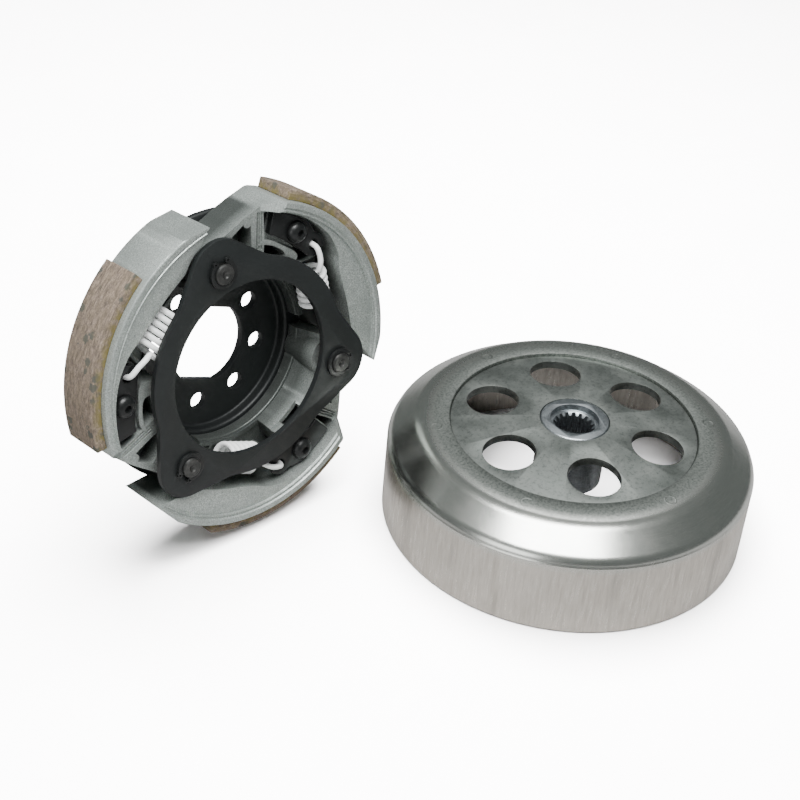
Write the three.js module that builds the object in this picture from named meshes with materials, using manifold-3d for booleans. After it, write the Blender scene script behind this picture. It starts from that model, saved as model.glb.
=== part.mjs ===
// Three-shoe centrifugal clutch with its separate clutch bell.
// Millimetres, +Z up. The bell lies open side down; the clutch stands beside it on its rim,
// leaning back a little, with its retainer plate facing -Y.
// The clutch is built in its own frame: +Z is its axis towards the front, and z = 0 is the plane
// of the pivot pins' front ends. A shoe is built with its pivot pin on +X and runs clockwise.
import * as THREE from 'three';
import { mergeVertices } from 'three/addons/utils/BufferGeometryUtils.js';
import Module from 'manifold-3d';

const wasm = await Module();
wasm.setup();

// ---- Layout of the set --------------------------------------------------------------------
const CLUTCH_LEAN = 8.5;            // degrees that the clutch axis tips up
const FIRST_PIN_ANGLE = 103;        // degrees, pin 1, anticlockwise from +X seen from the front
const CLUTCH_X = -52.31;
const CLUTCH_Y = 50.71;
const BELL_X = 47.99;
const BELL_Y = -17.39;
const BELL_HOLE_PHASE = 56.7;
const BELL_WELD_PHASE = 25;

// ---- Clutch -------------------------------------------------------------------------------
const SHOES = 3;
const PITCH = 360 / SHOES;
const GAP = 0.3;                    // clearance between pieces that touch
const PIN_CIRCLE = 41.7;
const PIN_R = 5;
const PIN_NECK_R = 3.8;
const PIN_GROOVE_R = 3.1;
const PIN_HEAD_R = 5.4;

const RETAINER_FRONT = -2.3;
const RETAINER_BACK = -4.5;
const RETAINER_IN_R = 33.4;
const RETAINER_OUT_R = 42;
const RETAINER_LOBE_R = 12.3;
const LOBE_HALF_ANGLE = 48;         // the lobe's arc about its pin, each way
const LOBE_BLEND_ANGLE = 29;        // where the lobe's straight flank meets the ring
const RETAINER_CLEAR = 1;           // room round the retainer in the shoes

const CIRCLIP_FRONT = -1;
const CIRCLIP_BACK = -2;
const CIRCLIP_IN_R = 3.45;
const CIRCLIP_OUT_R = 5.5;
const CIRCLIP_EAR_R = 1;
const CIRCLIP_TURN = [-7, 0, 3];    // each circlip's opening, from its pin's outward direction

const SHOE_BACK = -24.5;
const SHOE_R = 62;
const RIM_FRONT = -2;
const LIP_R = 58;                   // the rim's inner edge
const FACE = -3.1;                  // the crescent's face, at the lip
const FACE_FALL = 0.2;              // drop of the face for each mm inwards
const DECK = -8;                    // the shoe's boss, heel and rib
const POCKET_DEPTH = -16;
const PAD_Z = -10.1;                // pad below the spring anchor plate
const WEB_Z = -12;
const FLOOR_Z = -19;                // floor of the spring pocket
const SHOE_INNER_R = 34.5;
const BOSS_R = 8.2;
const RAMP_ANGLE = 29.3;            // middle of the slope from the heel up to the rim
const RAMP_HALF = 3.3;
const TAPER_START = 107;
const TIP_R = 60.3;
const TIP_END = 120.6;
const PAD_START = 31;
const PAD_END = 50;
const FLOOR_END = 96;
const INNER_WALL_START = -13;
const INNER_WALL_STEPS = [31, 53];  // angles where the inner wall gets lower
const KNOB_R = 1.7;

const LINING_IN_R = SHOE_R + GAP;
const LINING_OUT_R = 66;
const LINING_START = 34.5;
const LINING_END = 93;
const LINING_FRONT = -4.5;
const LINING_BACK = -22.3;

const SCREW_R = 51.3;               // radius and angle of the anchor screw from the pivot pin
const SCREW_ANGLE = 45.5;
const SCREW_HEAD_R = 4.2;
const SCREW_SHANK_R = 2.3;
const SCREW_SOCKET_R = 1.5;
const ANCHOR_FRONT = -7.3;
const ANCHOR_BACK = -9.8;
const HOOK_R = 50.2;                // radius and angle of the spring hook's hole
const HOOK_ANGLE = 57.3;
const HOOK_HOLE_R = 1.9;
const ANCHOR_LOBE_R = 4.6;
const ANCHOR_START = 31.8;
const ANCHOR_OUT_R = 56.6;

const WIRE_R = 1.05;
const COIL_R = 5.2;
const COIL_TURNS = 6;
const COIL_Z = -11.4;
const COIL_START = [16.1, -40.3];
const COIL_END = [0.8, -38.8];
const LOOP_Z = -6.25;               // the far hook, between the shoe's boss and the retainer

const PLATE_R = 53.5;
const FLANGE_FRONT = -25;
const FLANGE_BACK = -28;
const DISH_FRONT = -29.3;
const DISH_BACK = -32.3;
const DISH_R = 33;
const PLATE_BORE_R = 16;
const PLATE_BORE_FLAT = 14.2;
const PLATE_BORE_TURN = -214;       // the flats' normal, from pin 1
const PLATE_HOLES = 8;
const PLATE_HOLE_R = 3.3;
const PLATE_HOLE_CIRCLE = 22.8;
const PLATE_HOLE_TURN = -74.5;      // the first small hole, from pin 1

// ---- Bell ---------------------------------------------------------------------------------
const BELL_R = 70.3;
const BELL_WALL = 2.8;
const BELL_WALL_TOP = 30.4;
const SHOULDER_IN = 56;             // radius where the shoulder's crest meets the flange
const SHOULDER_Z = 40.95;
const CREST_R = 10;
const CONE_SLOPE = 36;              // degrees
const CONE_LENGTH = 8.4;
const CORNER_R = 6;
const CORNER_SLOPE = 74;
const DOME_SLOPE = 5.6;             // degrees
const SHEET = 2.6;
const FLANGE_IN_R = 47.3;
const DISC_STEP = 1.2;              // the disc lies this much below the flange
const DISC_SHEET = 3;
const DISC_R = 56.5;
const LIGHTENING_HOLES = 6;
const LIGHTENING_HOLE_R = 10;
const LIGHTENING_CIRCLE = 32.8;
const HUB_R = 13.3;
const HUB_TOP = 44.1;
const HUB_SEAT_R = 16;
const HUB_BOTTOM = 17;
const HUB_COUNTERBORE_R = 9.3;
const HUB_COUNTERBORE_Z = 41.6;
const SPLINE_TEETH = 18;
const SPLINE_TIP_R = 6.9;
const SPLINE_ROOT_R = 7.9;

// ---- Materials ----------------------------------------------------------------------------
const material = (color, roughness, metalness) =>
  new THREE.MeshStandardMaterial({ color, roughness, metalness });
const BLACK_STEEL = material(0x24282a, 0.5, 0.6);
const CAST_ALLOY = material(0xa9afab, 0.55, 0.8);
const FRICTION = material(0x8d7666, 0.95, 0);
const BLACK_OXIDE = material(0x1b1e1f, 0.55, 0.5);
const WHITE_COAT = material(0xe8ebe8, 0.45, 0);
const PIN_STEEL = material(0x4a4a48, 0.3, 1);
const BRUSHED_STEEL = material(0x9c958b, 0.3, 1);
const ZINC_STEEL = material(0x7d837c, 0.4, 1);
const HUB_STEEL = material(0x6f7678, 0.4, 1);

// ---- Geometry helpers ---------------------------------------------------------------------
const rad = THREE.MathUtils.degToRad;

function polar(r, degrees) {
  return new THREE.Vector2(r * Math.cos(rad(degrees)), r * Math.sin(rad(degrees)));
}

// A point of a shoe: the angle runs clockwise from the pivot pin.
function onShoe(r, degrees) {
  return polar(r, -degrees);
}

function arc(r, from, to, step = 6, centre = [0, 0]) {
  const count = Math.max(1, Math.ceil(Math.abs(to - from) / step));
  const points = [];
  for (let i = 0; i <= count; i += 1) {
    const p = polar(r, from + ((to - from) * i) / count);
    points.push(new THREE.Vector2(p.x + centre[0], p.y + centre[1]));
  }
  return points;
}

function shoeArc(r, from, to, step = 6) {
  return arc(r, -from, -to, step);
}

function circle(r, sides, centre = [0, 0]) {
  return arc(r, 0, 360, 360 / sides, centre).slice(0, -1);
}

function turned(points, degrees) {
  return points.map((p) => p.clone().rotateAround(new THREE.Vector2(), rad(degrees)));
}

function prism(points, low, high) {
  const geometry = new THREE.ExtrudeGeometry(new THREE.Shape(points), {
    depth: high - low,
    bevelEnabled: false,
  });
  return geometry.translate(0, 0, low);
}

function rod(r, low, high, centre = [0, 0], sides = 24) {
  return prism(circle(r, sides, centre), low, high);
}

// Turns a closed profile of [radius, height] pairs about +Z.
function lathe(profile, segments) {
  const points = profile.map(([r, z]) => new THREE.Vector2(r, z));
  return new THREE.LatheGeometry(points, segments).rotateX(Math.PI / 2);
}

function signedVolume(position, index) {
  const [a, b, c] = [new THREE.Vector3(), new THREE.Vector3(), new THREE.Vector3()];
  let volume = 0;
  for (let i = 0; i < index.count; i += 3) {
    a.fromBufferAttribute(position, index.getX(i));
    b.fromBufferAttribute(position, index.getX(i + 1));
    c.fromBufferAttribute(position, index.getX(i + 2));
    volume += a.dot(b.cross(c)) / 6;
  }
  return volume;
}

// A closed geometry as a solid, with its faces turned outwards.
function solid(geometry) {
  geometry.deleteAttribute('normal');
  geometry.deleteAttribute('uv');
  const merged = mergeVertices(geometry, 1e-4);
  const triVerts = [];
  const index = merged.index;
  const flip = signedVolume(merged.attributes.position, index) < 0;
  for (let i = 0; i < index.count; i += 3) {
    const [p, q, r] = [index.getX(i), index.getX(i + 1), index.getX(i + 2)];
    if (p === q || q === r || r === p) continue;
    triVerts.push(...(flip ? [p, r, q] : [p, q, r]));
  }
  return new wasm.Manifold(new wasm.Mesh({
    numProp: 3,
    vertProperties: new Float32Array(merged.attributes.position.array),
    triVerts: new Uint32Array(triVerts),
  }));
}

function join(...geometries) {
  return geometries.map(solid).reduce((whole, piece) => whole.add(piece));
}

function cut(body, ...geometries) {
  return geometries.map(solid).reduce((whole, piece) => whole.subtract(piece), body);
}

function node(name, body, look) {
  const { vertProperties, triVerts } = body.getMesh();
  const geometry = new THREE.BufferGeometry();
  geometry.setAttribute('position', new THREE.BufferAttribute(vertProperties, 3));
  geometry.setIndex(new THREE.BufferAttribute(triVerts, 1));
  const mesh = new THREE.Mesh(geometry, look);
  mesh.name = name;
  return mesh;
}

// ---- Clutch pieces that stay with the backing plate ---------------------------------------
function boreOutline() {
  const corner = THREE.MathUtils.radToDeg(Math.asin(PLATE_BORE_FLAT / PLATE_BORE_R));
  const side = arc(PLATE_BORE_R, -corner, corner, 10);
  return turned([...side, ...turned(side, 180)], FIRST_PIN_ANGLE + PLATE_BORE_TURN - 90);
}

function backingPlate() {
  const profile = [
    [0, DISH_BACK], [DISH_R + 1, DISH_BACK], [DISH_R + 3, DISH_BACK + 2], [DISH_R + 3, FLANGE_BACK],
    [PLATE_R, FLANGE_BACK], [PLATE_R, FLANGE_FRONT], [DISH_R + 1.6, FLANGE_FRONT],
    [DISH_R, FLANGE_FRONT - 1.5], [DISH_R, DISH_FRONT + 1.2], [DISH_R - 1.2, DISH_FRONT],
    [0, DISH_FRONT],
  ];
  const through = [DISH_BACK - 1, FLANGE_FRONT + 1];
  const cutters = [prism(boreOutline(), ...through)];
  for (let i = 0; i < PLATE_HOLES; i += 1) {
    const angle = FIRST_PIN_ANGLE + PLATE_HOLE_TURN + (360 / PLATE_HOLES) * i;
    const centre = polar(PLATE_HOLE_CIRCLE, angle).toArray();
    cutters.push(rod(PLATE_HOLE_R, ...through, centre, 16));
  }
  for (let i = 0; i < SHOES; i += 1) {
    const turn = FIRST_PIN_ANGLE - PITCH * i;
    cutters.push(rod(PIN_NECK_R + GAP, ...through, polar(PIN_CIRCLE, turn).toArray(), 20));
  }
  return cut(solid(lathe(profile, 60)), ...cutters);
}

// The retainer's outer edge, grown by a clearance: a ring with a lobe at each pin.
function retainerOutline(grow) {
  const points = [];
  for (let i = 0; i < SHOES; i += 1) {
    const lobe = arc(RETAINER_LOBE_R + grow, -LOBE_HALF_ANGLE, LOBE_HALF_ANGLE, 12, [PIN_CIRCLE, 0]);
    const ring = arc(RETAINER_OUT_R + grow, LOBE_BLEND_ANGLE, PITCH - LOBE_BLEND_ANGLE, 6);
    points.push(...turned([...lobe, ...ring], PITCH * i));
  }
  return points;
}

function retainerPlate() {
  const through = [RETAINER_BACK - 1, RETAINER_FRONT + 1];
  const cutters = [rod(RETAINER_IN_R, ...through, [0, 0], 60)];
  for (let i = 0; i < SHOES; i += 1) {
    cutters.push(rod(PIN_NECK_R + GAP, ...through, polar(PIN_CIRCLE, PITCH * i).toArray(), 20));
  }
  const plate = solid(prism(retainerOutline(0), RETAINER_BACK, RETAINER_FRONT));
  return cut(plate, ...cutters);
}

function pivotPin() {
  const profile = [
    [0, FLANGE_BACK - 2], [PIN_HEAD_R - 0.8, FLANGE_BACK - 2], [PIN_HEAD_R, FLANGE_BACK - 1.2],
    [PIN_HEAD_R, FLANGE_BACK - GAP], [PIN_NECK_R, FLANGE_BACK - GAP],
    [PIN_NECK_R, FLANGE_FRONT + GAP], [PIN_R, FLANGE_FRONT + GAP], [PIN_R, RETAINER_BACK - GAP],
    [PIN_NECK_R, RETAINER_BACK - GAP], [PIN_NECK_R, CIRCLIP_BACK - GAP],
    [PIN_GROOVE_R, CIRCLIP_BACK - GAP], [PIN_GROOVE_R, CIRCLIP_FRONT + GAP],
    [PIN_NECK_R, CIRCLIP_FRONT + GAP], [PIN_NECK_R, -0.3], [PIN_NECK_R - 0.5, 0], [0, 0],
  ];
  return solid(lathe(profile, 20).translate(PIN_CIRCLE, 0, 0));
}

// An open ring with an ear at each end; its opening points along +X before it is turned.
function circlip(turn) {
  const opening = 24;
  const ring = [
    ...arc(CIRCLIP_OUT_R, opening, 360 - opening, 18),
    ...arc(CIRCLIP_IN_R, 360 - opening, opening, 18),
  ];
  const middle = (CIRCLIP_IN_R + CIRCLIP_OUT_R) / 2 + 0.7;
  const ears = [opening + 6, -opening - 6].map((angle) =>
    rod(CIRCLIP_EAR_R, CIRCLIP_BACK, CIRCLIP_FRONT, polar(middle, angle).toArray(), 10));
  const body = join(prism(ring, CIRCLIP_BACK, CIRCLIP_FRONT), ...ears);
  return body.rotate([0, 0, turn]).translate([PIN_CIRCLE, 0, 0]);
}

// ---- Pieces of one shoe -------------------------------------------------------------------
function sector(from, to, low, high) {
  return prism([new THREE.Vector2(), ...shoeArc(90, from, to, 15)], low, high);
}

// A band turned about the clutch axis and kept between two angles.
function band(profile, from, to) {
  return solid(lathe(profile, 72)).intersect(solid(sector(from, to, SHOE_BACK - 1, 1)));
}

function edgePoints(pairs) {
  return pairs.map(([r, angle]) => onShoe(r, angle));
}

// The crescent and its rim: their outline, cut to the profile that they share.
function crescent() {
  const heelSide = [[57.2, 23.3], [58.3, 25.6], [59.9, 28], [61.3, 30], [SHOE_R + 0.4, 31.8]];
  const pocketSide = [
    [52.8, 113.8], [49.8, 107.5], [48.8, 102], [48.6, 94], [48.9, 85], [49.6, 79], [50.4, 75],
    [51.8, 71.5], [53.6, 67.5], [55.6, 60], [56.5, 54], [57, 48], [57.4, 41], [57.6, 33],
    [57, 26],
  ];
  const outline = [
    ...edgePoints(heelSide), ...shoeArc(SHOE_R + 1, 35, TAPER_START), onShoe(TIP_R, TIP_END),
    ...edgePoints(pocketSide),
  ];
  const inside = 40;
  const profile = [
    [0, SHOE_BACK], [SHOE_R - 0.5, SHOE_BACK], [SHOE_R, SHOE_BACK + 0.5],
    [SHOE_R, RIM_FRONT - 0.6], [SHOE_R - 0.6, RIM_FRONT], [LIP_R + 1.6, RIM_FRONT - 0.1],
    [LIP_R + 1.1, RIM_FRONT - 0.6], [LIP_R + 0.3, RIM_FRONT - 0.4], [LIP_R, FACE],
    [inside, FACE - FACE_FALL * (LIP_R - inside)], [0, FACE - FACE_FALL * (LIP_R - inside)],
  ];
  return solid(prism(outline, SHOE_BACK, 0)).intersect(solid(lathe(profile, 72)));
}

// Cuts the slope between the heel and the rim.
function rampCutter() {
  const slope = new THREE.Shape([
    new THREE.Vector2(-9, DECK), new THREE.Vector2(-RAMP_HALF, DECK),
    new THREE.Vector2(RAMP_HALF, RIM_FRONT), new THREE.Vector2(RAMP_HALF, 1),
    new THREE.Vector2(-9, 1),
  ]);
  const outwards = onShoe(1, RAMP_ANGLE);
  const basis = new THREE.Matrix4().makeBasis(
    new THREE.Vector3(outwards.y, -outwards.x, 0),
    new THREE.Vector3(0, 0, 1),
    new THREE.Vector3(outwards.x, outwards.y, 0),
  );
  return new THREE.ExtrudeGeometry(slope, { depth: 12, bevelEnabled: false })
    .translate(0, 0, 54)
    .applyMatrix4(basis);
}

// The heel from the boss to the divider, which carries on inwards below the retainer.
function heel() {
  return edgePoints([
    [PIN_CIRCLE, -2], [49.85, 0.3], [49.8, 4], [50.4, 7.5], [51.9, 12.5], [54, 17.1],
    [57.2, 23.3], [59.9, 28], [57.8, 28.4], [55.6, 27.8], [46.8, 30.1], [39.5, 32], [38.5, 8],
  ]);
}

function heelPocket() {
  return edgePoints([
    [48.7, 12], [46, 13.2], [43.4, 15], [40.5, 17], [40.3, 24], [43.1, 23.7], [49.4, 22.7],
    [54.9, 21.9], [52.3, 18], [49.8, 13.8],
  ]);
}

function floorPlan() {
  return [
    ...shoeArc(SHOE_INNER_R, INNER_WALL_START, FLOOR_END),
    onShoe(50, FLOOR_END),
    ...shoeArc(LIP_R, 70, 26),
    onShoe(50, 6), onShoe(40, INNER_WALL_START),
  ];
}

function anchorPad() {
  return [
    ...shoeArc(LIP_R, PAD_START, PAD_END),
    onShoe(54, PAD_END + 3), onShoe(48, PAD_END + 2),
    ...shoeArc(45.5, PAD_END, PAD_START),
  ];
}

// The rib that runs from the divider behind the retainer and ends in a tongue.
function hookRib() {
  return edgePoints([
    [45.8, 29.5], [46.1, 33.8], [45.7, 37.5], [45, 42.9], [44.7, 48.5], [44.1, 52], [43, 53.2],
    [41.1, 53.4], [37, 53], [37, 45.8], [40.8, 45.7], [42.5, 45.3], [43.5, 42], [44.1, 37.1],
    [44.4, 31.5], [44, 27],
  ]);
}

// A low bar across the pocket, under the spring's near hook.
function web() {
  return edgePoints([[42, 59], [48.8, 65.5], [48.8, 68], [42, 62]]);
}

// The spring anchor: a plate with a round lobe at the hook, its inner edge along the rib.
function anchorOutline() {
  const hook = onShoe(HOOK_R, HOOK_ANGLE).toArray();
  const lobe = arc(ANCHOR_LOBE_R, 30 - HOOK_ANGLE, -170 - HOOK_ANGLE, 20, hook);
  return [
    ...shoeArc(ANCHOR_OUT_R, ANCHOR_START, 49), ...lobe,
    ...edgePoints([[45.9, 51.5], [46.4, 46], [46.9, 42], [48, 35], [48.3, ANCHOR_START]]),
  ];
}

// One height of the shoe's inside wall, flared above its step.
function innerWall(top, topR, from, to) {
  const profile = [
    [SHOE_INNER_R, SHOE_BACK], [SHOE_INNER_R, -20], [topR, top], [topR + 1.6, top],
    [topR + 1.6, SHOE_BACK], [SHOE_INNER_R, SHOE_BACK],
  ];
  return band(profile, from, to);
}

function shoe() {
  const [first, second] = INNER_WALL_STEPS;
  const heelBlock = cut(
    join(prism(heel(), SHOE_BACK, DECK), rod(BOSS_R, SHOE_BACK, DECK, [PIN_CIRCLE, 0], 32)),
    prism(heelPocket(), POCKET_DEPTH, 1),
  );
  const body = join(
    prism(floorPlan(), SHOE_BACK, FLOOR_Z),
    prism(anchorPad(), SHOE_BACK, PAD_Z),
    prism(hookRib(), SHOE_BACK, DECK),
    prism(web(), SHOE_BACK, WEB_Z),
    rod(KNOB_R, SHOE_BACK, DECK, onShoe(52.9, 20.6).toArray(), 14),
  )
    .add(crescent())
    .add(heelBlock)
    .add(innerWall(DECK, 38.4, INNER_WALL_START, first))
    .add(innerWall(-11, 36.6, first - 1, second))
    .add(innerWall(-18.2, 35, second - 1, FLOOR_END));
  return cut(
    body,
    rampCutter(),
    prism(retainerOutline(RETAINER_CLEAR), RETAINER_BACK - 1, 1),
    rod(PIN_R + GAP, SHOE_BACK - 1, 1, [PIN_CIRCLE, 0], 24),
    rod(SCREW_SHANK_R + GAP, -17, 1, onShoe(SCREW_R, SCREW_ANGLE).toArray(), 12),
  );
}

function lining() {
  const outline = [
    ...shoeArc(LINING_OUT_R, LINING_START, LINING_END, 5),
    ...shoeArc(LINING_IN_R, LINING_END, LINING_START, 5),
  ];
  return solid(prism(outline, LINING_BACK, LINING_FRONT));
}

function springAnchor() {
  const through = [ANCHOR_BACK - 1, ANCHOR_FRONT + 1];
  return cut(
    solid(prism(anchorOutline(), ANCHOR_BACK, ANCHOR_FRONT)),
    rod(HOOK_HOLE_R, ...through, onShoe(HOOK_R, HOOK_ANGLE).toArray(), 14),
    rod(SCREW_SHANK_R + GAP, ...through, onShoe(SCREW_R, SCREW_ANGLE).toArray(), 14),
  );
}

function anchorScrew() {
  const seat = ANCHOR_FRONT + GAP;
  const profile = [
    [0, -16.5], [SCREW_SHANK_R, -16.5], [SCREW_SHANK_R, seat], [SCREW_HEAD_R, seat],
    [SCREW_HEAD_R, seat + 0.6], [SCREW_HEAD_R - 0.8, seat + 1.8], [SCREW_HEAD_R - 2, seat + 2.5],
    [0, seat + 2.7],
  ];
  const body = cut(solid(lathe(profile, 20)), rod(SCREW_SOCKET_R, seat + 1.1, 1, [0, 0], 6));
  const place = onShoe(SCREW_R, SCREW_ANGLE);
  return body.translate([place.x, place.y, 0]);
}

// A tension spring: its near hook drops through the anchor plate, its far hook goes round the
// next shoe's pivot pin.
function springPath() {
  const hook = onShoe(HOOK_R, HOOK_ANGLE);
  const start = new THREE.Vector2(...COIL_START);
  const end = new THREE.Vector2(...COIL_END);
  const side = end.clone().sub(start).normalize().rotateAround(new THREE.Vector2(), Math.PI / 2);
  const points = [
    new THREE.Vector3(hook.x, hook.y, -11.6),
    new THREE.Vector3(hook.x, hook.y, -8.4),
    new THREE.Vector3(hook.x - 1.3, hook.y - 0.2, -5.8),
    new THREE.Vector3(22, -42.3, -5.2),
    new THREE.Vector3(19.1, -41.5, -5.3),
  ];
  const steps = Math.round(COIL_TURNS * 9);
  for (let i = 0; i <= steps; i += 1) {
    const angle = Math.PI / 2 + (i / steps) * COIL_TURNS * 2 * Math.PI;
    const axis = start.clone().lerp(end, i / steps).addScaledVector(side, COIL_R * Math.cos(angle));
    points.push(new THREE.Vector3(axis.x, axis.y, COIL_Z + COIL_R * Math.sin(angle)));
  }
  const loop = arc(PIN_R + GAP + WIRE_R, -85, -260, 25, onShoe(PIN_CIRCLE, PITCH).toArray());
  points.push(...loop.map((p) => new THREE.Vector3(p.x, p.y, LOOP_Z)));
  return points;
}

function returnSpring() {
  const points = springPath();
  const path = new THREE.CatmullRomCurve3(points, false, 'centripetal');
  const geometry = new THREE.ExtrudeGeometry(new THREE.Shape(circle(WIRE_R, 6)), {
    steps: points.length + 10,
    extrudePath: path,
  });
  return solid(geometry);
}

// ---- Bell pieces --------------------------------------------------------------------------
function domeZ(r) {
  return SHOULDER_Z + (SHOULDER_IN - r) * Math.tan(rad(DOME_SLOPE));
}

// The outside of the shoulder from the flange to the wall: a crest, a cone and a corner, all
// set in by an offset.
function shoulder(offset) {
  const crest = [
    SHOULDER_IN - CREST_R * Math.sin(rad(DOME_SLOPE)),
    SHOULDER_Z - CREST_R * Math.cos(rad(DOME_SLOPE)),
  ];
  const [sin, cos] = [Math.sin(rad(CONE_SLOPE)), Math.cos(rad(CONE_SLOPE))];
  const corner = [
    crest[0] + (CREST_R - CORNER_R) * sin + CONE_LENGTH * cos,
    crest[1] + (CREST_R - CORNER_R) * cos - CONE_LENGTH * sin,
  ];
  return [
    ...arc(CREST_R - offset, 90 - DOME_SLOPE, 90 - CONE_SLOPE, 10, crest),
    ...arc(CORNER_R - offset, 90 - CONE_SLOPE, 90 - CORNER_SLOPE, 13, corner),
  ].map((p) => p.toArray());
}

function bellDrum() {
  const inner = BELL_R - BELL_WALL;
  const profile = [
    [inner, 0], [BELL_R, 0], [BELL_R, BELL_WALL_TOP], ...shoulder(0).reverse(),
    [FLANGE_IN_R, domeZ(FLANGE_IN_R)], [FLANGE_IN_R, domeZ(FLANGE_IN_R) - SHEET],
    ...shoulder(SHEET), [inner, BELL_WALL_TOP - 2], [inner, 0],
  ];
  return solid(lathe(profile, 72));
}

function bellDisc() {
  const top = (r) => domeZ(r) - DISC_STEP;
  const tuck = (r) => domeZ(r) - SHEET - GAP;
  const bore = HUB_R + GAP;
  const inner = FLANGE_IN_R - GAP;
  const profile = [
    [bore, top(bore)], [inner, top(inner)], [inner, tuck(inner)],
    [DISC_R, tuck(DISC_R)], [DISC_R, tuck(DISC_R) - DISC_SHEET], [inner, tuck(inner) - DISC_SHEET],
    [inner - 2, top(inner) - DISC_SHEET], [bore, top(bore) - DISC_SHEET], [bore, top(bore)],
  ];
  const holes = [];
  for (let i = 0; i < LIGHTENING_HOLES; i += 1) {
    const angle = BELL_HOLE_PHASE + (360 / LIGHTENING_HOLES) * i;
    holes.push(rod(LIGHTENING_HOLE_R, 30, 50, polar(LIGHTENING_CIRCLE, angle).toArray(), 32));
  }
  return cut(solid(lathe(profile, 72)), ...holes);
}

function splineOutline() {
  const points = [];
  const tooth = 360 / SPLINE_TEETH;
  for (let i = 0; i < SPLINE_TEETH; i += 1) {
    points.push(polar(SPLINE_ROOT_R, tooth * i), polar(SPLINE_ROOT_R, tooth * (i + 0.42)));
    points.push(polar(SPLINE_TIP_R, tooth * (i + 0.56)), polar(SPLINE_TIP_R, tooth * (i + 0.86)));
  }
  return points;
}

function splinedHub() {
  const seat = domeZ(HUB_R) - DISC_STEP - DISC_SHEET - 2 * GAP;
  const profile = [
    [0, HUB_BOTTOM], [HUB_R - 0.8, HUB_BOTTOM], [HUB_R, HUB_BOTTOM + 0.8], [HUB_R, seat - 5],
    [HUB_SEAT_R, seat - 4], [HUB_SEAT_R, seat], [HUB_R, seat], [HUB_R, HUB_TOP - 0.3],
    [HUB_R - 0.3, HUB_TOP], [0, HUB_TOP],
  ];
  return cut(
    solid(lathe(profile, 48)),
    prism(splineOutline(), HUB_BOTTOM - 1, HUB_TOP + 1),
    rod(HUB_COUNTERBORE_R, HUB_COUNTERBORE_Z, HUB_TOP + 1, [0, 0], 36),
  );
}

// ---- The set ------------------------------------------------------------------------------
function clutch() {
  const group = new THREE.Group();
  group.add(node('backing_plate', backingPlate(), BLACK_STEEL));
  const retainer = node('retainer_plate', retainerPlate(), BLACK_STEEL);
  retainer.rotation.z = rad(FIRST_PIN_ANGLE);
  group.add(retainer);
  for (let i = 0; i < SHOES; i += 1) {
    const unit = new THREE.Group();
    const n = i + 1;
    unit.rotation.z = rad(FIRST_PIN_ANGLE - PITCH * i);
    unit.add(
      node(`pivot_pin_${n}`, pivotPin(), PIN_STEEL),
      node(`circlip_${n}`, circlip(CIRCLIP_TURN[i]), BLACK_OXIDE),
      node(`shoe_${n}`, shoe(), CAST_ALLOY),
      node(`friction_lining_${n}`, lining(), FRICTION),
      node(`spring_anchor_${n}`, springAnchor(), BLACK_OXIDE),
      node(`anchor_screw_${n}`, anchorScrew(), BLACK_OXIDE),
      node(`return_spring_${n}`, returnSpring(), WHITE_COAT),
    );
    group.add(unit);
  }
  return group;
}

function bell() {
  const group = new THREE.Group();
  group.add(
    node('bell_drum', bellDrum(), BRUSHED_STEEL),
    node('bell_disc', bellDisc(), ZINC_STEEL),
    node('splined_hub', splinedHub(), HUB_STEEL),
  );
  return group;
}

// Height of the clutch frame's origin that puts its lowest rim edge on the ground.
function clutchHeight() {
  const lean = rad(CLUTCH_LEAN);
  const rims = [[SHOE_R, SHOE_BACK], [LINING_OUT_R, LINING_BACK]];
  return Math.max(...rims.map(([r, z]) => r * Math.cos(lean) - z * Math.sin(lean)));
}

const set = new THREE.Group();
const clutchGroup = clutch();
clutchGroup.position.set(CLUTCH_X, CLUTCH_Y, clutchHeight());
clutchGroup.rotation.x = rad(90 - CLUTCH_LEAN);
const bellGroup = bell();
bellGroup.position.set(BELL_X, BELL_Y, 0);
set.add(clutchGroup, bellGroup);

export default set;
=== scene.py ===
# Looks of a centrifugal clutch and its bell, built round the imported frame.
# Lengths are millimetres in each piece's own frame and become metres in dress().
# Lights, camera distances and the floor's size are metres.
# The clutch's frame has +Z along its axis towards the front, with z = 0 at the pins' front ends.
# A shoe's frame is the same one turned so that its own pin lies on +X; angles run clockwise from it.
import math
import bmesh
import bpy
from mathutils import Matrix, Vector


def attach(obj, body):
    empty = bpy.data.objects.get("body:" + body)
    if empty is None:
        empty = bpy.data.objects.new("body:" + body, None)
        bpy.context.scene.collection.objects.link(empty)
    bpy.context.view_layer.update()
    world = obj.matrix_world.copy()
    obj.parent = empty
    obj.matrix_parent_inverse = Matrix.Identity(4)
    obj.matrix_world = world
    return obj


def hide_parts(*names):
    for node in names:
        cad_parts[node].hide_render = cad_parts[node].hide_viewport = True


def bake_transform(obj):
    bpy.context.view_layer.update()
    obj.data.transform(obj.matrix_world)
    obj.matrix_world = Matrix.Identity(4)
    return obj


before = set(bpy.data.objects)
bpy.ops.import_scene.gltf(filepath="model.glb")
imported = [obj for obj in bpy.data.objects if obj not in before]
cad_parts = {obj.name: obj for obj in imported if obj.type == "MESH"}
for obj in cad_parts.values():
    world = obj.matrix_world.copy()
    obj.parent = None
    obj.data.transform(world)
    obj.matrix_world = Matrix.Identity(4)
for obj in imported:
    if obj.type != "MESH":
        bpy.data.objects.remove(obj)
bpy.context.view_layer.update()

MM = 0.001
SHARP_ANGLE = 30
SHOES = range(3)
SHOE_STEP = 120

# ---- Places of the two assemblies ---------------------------------------------------------
LEAN = math.radians(8.5)
FIRST_PIN = 103
CLUTCH_XY = (-52.31, 50.71)
BELL_XY = (47.99, -17.39)
HOLE_PHASE = 56.7
WELD_PHASE = 25

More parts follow.
